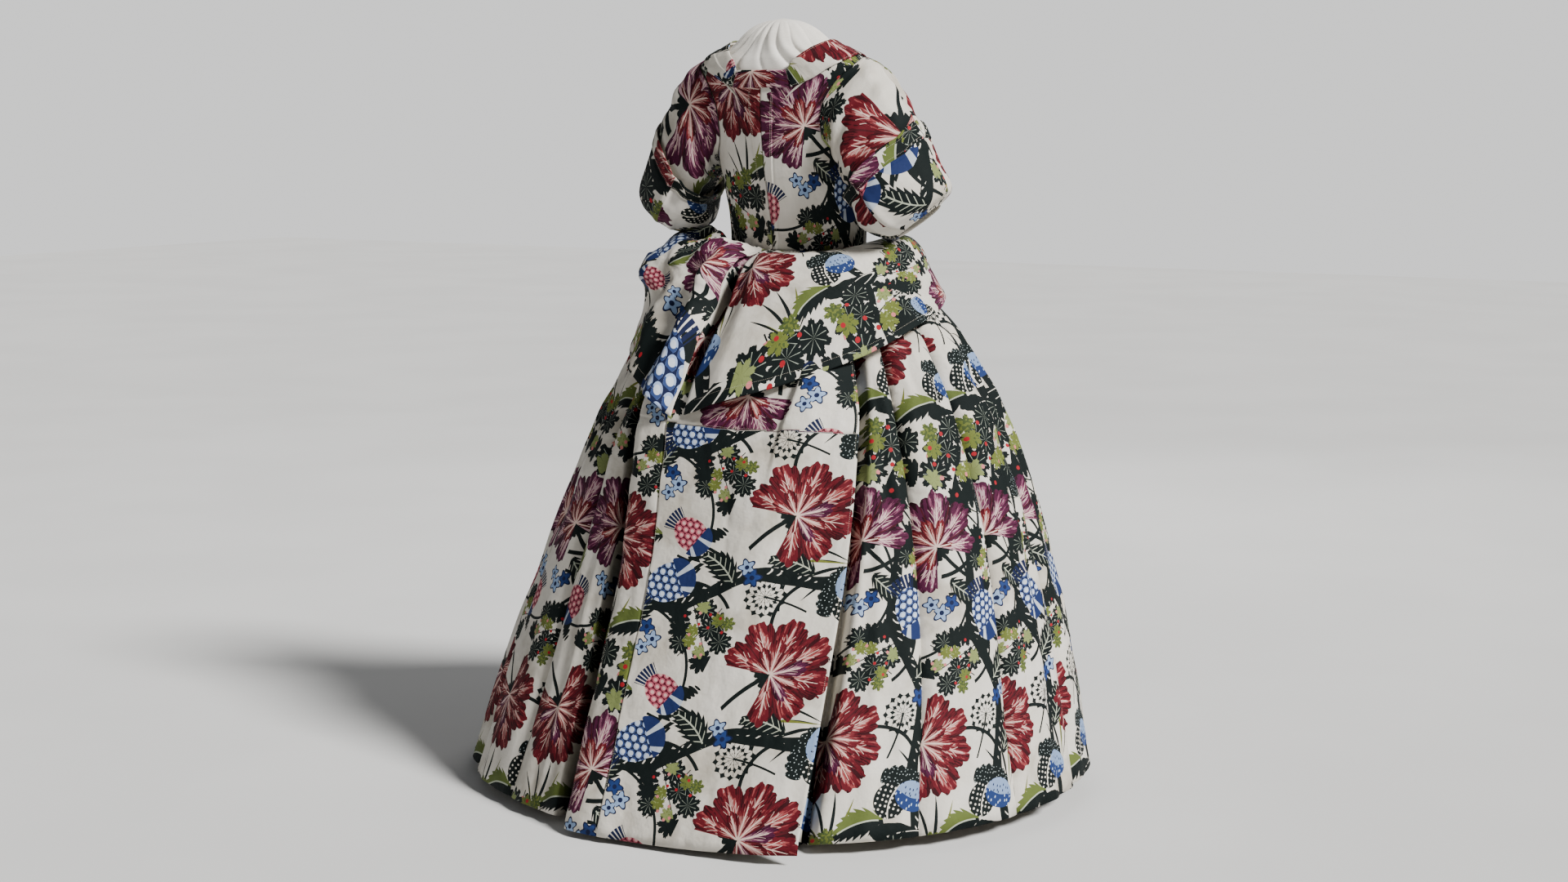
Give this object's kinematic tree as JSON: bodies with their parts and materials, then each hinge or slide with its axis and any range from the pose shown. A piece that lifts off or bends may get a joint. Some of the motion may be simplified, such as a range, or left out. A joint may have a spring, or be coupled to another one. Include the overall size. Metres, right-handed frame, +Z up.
{
  "type": "mantua gown and petticoat on a dress form with a round foot",
  "caption": "Fitted silk mantua with looped-up train, elbow sleeves and deep winged cuffs, over a wide petticoat, standing on a padded dress form.",
  "frame": {"origin": "centre of the underside of the stand's round foot, on the floor", "axes": "+Z up, the wearer faces -Y, so the train is at +Y and the wearer's right is -X"},
  "size_m": [1.2055, 1.1267, 1.42],
  "materials": {
    "silk": "brocaded ivory silk, soft sheen",
    "linen": "plain woven linen",
    "form_cover": "plain white cotton",
    "stand": "satin"
  },
  "bodies": {
    "root": {"form_body": "form_cover", "form_pole": "stand", "form_foot": "stand", "petticoat_waistband": "linen", "petticoat_front": "silk", "petticoat_right_back": "silk", "petticoat_right_front": "silk", "petticoat_left_back": "silk", "petticoat_left_front": "silk", "petticoat_back": "silk", "bodice_back_right": "silk", "bodice_back_left": "silk", "bodice_front_right": "silk", "bodice_front_left": "silk", "stomacher": "silk", "neck_band": "silk", "robing_right": "silk", "robing_left": "silk", "sleeve_right": "silk", "sleeve_left": "silk", "cuff_right": "silk", "cuff_left": "silk", "train_breadth": "silk", "train_wing_right": "silk", "train_wing_left": "silk"}
  },
  "joints": []
}
